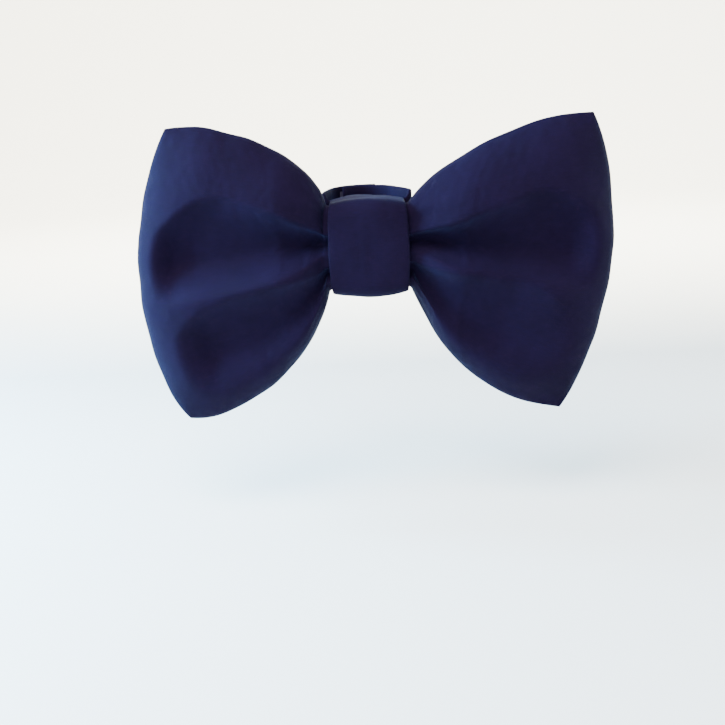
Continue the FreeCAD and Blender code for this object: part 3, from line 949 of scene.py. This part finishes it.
def strap_sleeve(name, path, sign, wall, span, seed, uneven, flare=0.0):
    """A flat tube of cloth that stands on edge along a path in plan, closed at both ends.

    span is its lowest and highest z, and flare is how much higher it stands past the knot.
    """
    low, high = span
    path = np.asarray(path, float)
    tangent = np.gradient(path, axis=0)
    tangent /= np.linalg.norm(tangent, axis=1, keepdims=True)
    normal = np.stack([tangent[:, 1], -tangent[:, 0]], axis=1)
    middle_z = (low + high) / 2
    profile = [
        (z + middle_z, depth - wall / 2) for z, depth in band_profile((high - low) / 2, wall, 18)
    ]
    along = path_length(path)
    rings = []
    cloth = []
    for (x, y), (nx, ny), s in zip(path, normal, along):
        taper = 0.35 + 0.65 * float(smooth(min(s, along[-1] - s), 0, 0.8))
        ring = []
        for z, depth in profile:
            to_edge = (z - middle_z) / STRAP_HALF_HEIGHT
            lift = uneven * ripple((s, z, 0), 8.0, seed) * (0.3 + 0.7 * to_edge ** 2)
            out = -depth * taper + lift
            edge = uneven * 0.8 * ripple((s, 0, 4 * math.copysign(1, z)), 7.0, seed)
            share = (z - low) / (high - low)
            raised = flare * share * float(smooth(s, *STRAP_FLARE))
            level = z + edge * abs(to_edge) + raised
            ring.append((sign * (x + nx * out), y + ny * out, level))
            cloth.append((s, z + 2 * depth, 0))
        rings.append(ring)
    faces = ring_sweep(rings, closed=False)
    if sign > 0:
        faces = [tuple(reversed(face)) for face in faces]
    return new_piece(name, np.concatenate([np.array(r) for r in rings]), faces, cloth)


def strap_pieces():
    whole = (STRAP_LOW, STRAP_HIGH)
    hemmed = (STRAP_LOW + STRAP_HEM, STRAP_HIGH - STRAP_HEM)
    arms = (("right", 1, INNER_RING, INNER_END_DEG), ("left", -1, OUTER_RING, OUTER_END_DEG))
    shape = (STRAP_UNEVEN, ARM_HIGH - STRAP_HIGH)
    for side, sign, ring, end in arms:
        path = arm_path(ring, end)
        seed = STRAP_SEED * sign
        sleeve = strap_sleeve(side + "_strap_cloth", path, sign, STRAP_WALL, whole, seed, *shape)
        dress(sleeve, COTTON, [side + "_strap_arm"])
        core = strap_sleeve(
            side + "_strap_core", path[2:-3], sign, STIFFENER_WALL, hemmed, seed, *shape
        )
        dress(core, STIFFENER, [side + "_strap_stiffener"])
        for piece in (sleeve, core):
            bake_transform(piece)
    reach = BAND_HALF_WIDTH - STRAP_MIDDLE_GAP
    straight = [(x, STRAP_HINGE.y) for x in np.linspace(-reach, reach, 50)]
    middle = strap_sleeve("strap_middle_cloth", straight, 1, STRAP_WALL, whole, 1.0, 0.0)
    dress(middle, COTTON, ["strap_middle"])
    core = strap_sleeve("strap_middle_core", straight[1:-1], 1, STIFFENER_WALL, hemmed, 1.0, 0.0)
    dress(core, STIFFENER, ["strap_middle_stiffener"])
    for piece in (middle, core):
        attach(piece, "knot")


# ---------------------------------------------------------------- hook-and-loop tapes

def add_tube(points, faces, path, side, radius):
    """Adds a thin square tube along a path that lies in the plane square to side."""
    path = np.asarray(path, float)
    rings = []
    for centre, direction in zip(path, np.gradient(path, axis=0)):
        up = np.cross(direction, side)
        up /= np.linalg.norm(up)
        corners = [(1, 1), (-1, 1), (-1, -1), (1, -1)]
        rings.append([centre + radius * (a * side + b * up) for a, b in corners])
    first = len(points)
    faces.extend(tuple(first + k for k in face) for face in ring_sweep(rings, closed=False))
    points.extend(point for ring in rings for point in ring)


def tape(name, ring, facing, shape, pitch, strand, seed):
    """A curved tape whose hooks or loops stand out from the post for facing 1, or in for facing -1.

    pitch is the distance between two of them, and strand is half the thickness of each.
    """
    random = np.random.default_rng(seed)
    low, high = [corner.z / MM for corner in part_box(name)]
    points, faces = [], []
    angles = np.radians(np.linspace(*TAPE_DEGREES, 40))
    rings = []
    for angle in angles:
        outward = np.array([math.sin(angle), math.cos(angle), 0])
        corners = [(0, low), (TAPE_BASE, low), (TAPE_BASE, high), (0, high)]
        rings.append([outward * (ring + facing * depth) + (0, 0, z) for depth, z in corners])
    faces.extend(ring_sweep(rings, closed=False))
    points.extend(point for section in rings for point in section)
    foot = ring + facing * (TAPE_BASE - TAPE_SINK)
    across = int((angles[-1] - angles[0]) * foot / pitch) - 1
    along = int((high - low - 2 * TAPE_MARGIN) / pitch)
    for i in range(across):
        for j in range(along):
            nudge = random.uniform(-TAPE_NUDGE, TAPE_NUDGE, 2) * pitch
            angle = angles[0] + (TAPE_MARGIN + (i + 0.5 * (j % 2)) * pitch + nudge[0]) / foot
            outward = np.array([math.sin(angle), math.cos(angle), 0])
            is_loop = shape is LOOP_SHAPE
            turn = random.uniform(0, math.pi) if is_loop else random.normal(0, HOOK_TURN)
            round_post = np.array([outward[1], -outward[0], 0])
            lean = math.cos(turn) * np.array([0, 0, 1.0]) + math.sin(turn) * round_post
            start = outward * foot + (0, 0, low + TAPE_MARGIN + j * pitch + nudge[1])
            path = [start + facing * outward * up + lean * aside for up, aside in shape]
            add_tube(points, faces, path, np.cross(outward, lean), strand)
    return new_piece(name + "_pile", points, faces)


def tape_pieces():
    hooks = tape("hook_tape", HOOK_RING, -1, HOOK_SHAPE, pitch=1.15, strand=0.07, seed=3)
    dress(hooks, HOOKS, ["hook_tape"])
    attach(hooks, "left_strap")
    loops = tape("loop_tape", LOOP_RING, 1, LOOP_SHAPE, pitch=0.95, strand=0.045, seed=4)
    dress(loops, LOOPS, ["loop_tape"])
    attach(loops, "right_strap")


# ---------------------------------------------------------------- carried-over CAD parts

def carried_over():
    """Materials for the CAD nodes that are shown as they are."""
    finishes = {
        "knot_band_lap": cloth_material("navy_cotton_lap", *NAVY_CLOTH, coordinates="object"),
        "knot_closing_stitches": THREAD,
        "gathering_thread": THREAD,
        "hook_tape_stitches": THREAD,
        "loop_tape_stitches": THREAD,
    }
    for name, material in finishes.items():
        node = frame["nodes"][name]
        node.data.materials.clear()
        node.data.materials.append(material)


# ---------------------------------------------------------------- stage, light and camera

STAGE_COLOUR = (0.86, 0.83, 0.76)
STAGE_MOTTLE = 0.97


def stage_material():
    """Matt pale paper with a very faint mottling."""
    material = blank_material("pale_floor")
    add = node_maker(material)
    place = add("ShaderNodeTexCoord").outputs["Object"]
    mottle = add("ShaderNodeTexNoise", {"Vector": place, "Scale": 9.0, "Detail": 3.0}).outputs[0]
    darker = [STAGE_MOTTLE * c for c in STAGE_COLOUR]
    colour = colour_ramp(add, mottle, darker, STAGE_COLOUR)
    finish_material(add, {"Base Color": colour, "Roughness": 0.9})
    return material


def make_floor():
    """A round floor, flat under the bow, whose rim sweeps up into a low wall."""
    level, flat, sweep, count = -150.0, 1500.0, 1200.0, 96
    steps = 16
    outline = [(0.3 * flat, level), (flat, level)]
    for step in range(1, steps + 1):
        angle = math.pi / 2 * step / steps
        outline.append((flat + sweep * math.sin(angle), level + sweep * (1 - math.cos(angle))))
    rings = []
    for radius, height in outline:
        turns = [2 * math.pi * k / count for k in range(count)]
        rings.append([(radius * math.cos(a), radius * math.sin(a), height) for a in turns])
    faces = ring_sweep(rings, closed=False)[:-1]
    floor = new_piece("floor", np.concatenate([np.array(ring) for ring in rings]), faces)
    floor.data.materials.append(stage_material())


def area_light(name, place, target, size, power, colour):
    light = bpy.data.lights.new(name, "AREA")
    light.shape = "RECTANGLE"
    light.size = size[0] * MM
    light.size_y = size[1] * MM
    light.energy = power
    light.color = colour
    lamp = bpy.data.objects.new(name, light)
    bpy.context.scene.collection.objects.link(lamp)
    lamp.location = Vector(place) * MM
    lamp.rotation_euler = (Vector(target) - Vector(place)).to_track_quat("-Z", "Y").to_euler()


def make_lights():
    world = bpy.data.worlds.new("studio")
    bpy.context.scene.world = world
    world.use_nodes = True
    background = world.node_tree.nodes["Background"]
    background.inputs["Color"].default_value = (0.93, 0.91, 0.86, 1)
    background.inputs["Strength"].default_value = 0.93
    aim = (0, -30, 0)
    area_light("window", (-700, -60, 230), aim, (450, 550), 64.0, (0.34, 0.66, 1.0))
    area_light("top", (-220, -420, 640), aim, (500, 400), 17.0, (1.0, 0.96, 0.95))
    area_light("side", (700, -60, 160), aim, (400, 400), 7.0, (0.70, 0.85, 1.0))
    area_light("backdrop", (0, 500, 900), (0, 2400, 500), (1800, 500), 260.0, (1.0, 0.99, 0.88))


def make_camera():
    """In front of the bow and a little above it, aimed below it, and rolled a little."""
    distance = 560.0
    elevation = math.radians(9.0)
    roll = math.radians(-2.5)
    knot = Vector((0, LOBE_HINGE.y, 0))
    place = knot + Vector((0, -math.cos(elevation), math.sin(elevation))) * distance
    aim = knot + Vector((-6.0, 0, -63.2))
    data = bpy.data.cameras.new("camera")
    data.sensor_width = 36.0
    data.lens = 52.5
    data.clip_start = 0.01
    data.clip_end = 50
    camera = bpy.data.objects.new("camera", data)
    bpy.context.scene.collection.objects.link(camera)
    camera.location = place * MM
    look = (aim - place).to_track_quat("-Z", "Y")
    camera.rotation_euler = look.to_euler()
    camera.rotation_euler.rotate_axis("Z", roll)
    bpy.context.scene.camera = camera


for lobe_side in ("left", "right"):
    lobe_pieces(lobe_side)
waist_pieces()
knot_pieces()
strap_pieces()
tape_pieces()
carried_over()
make_floor()
make_lights()
make_camera()
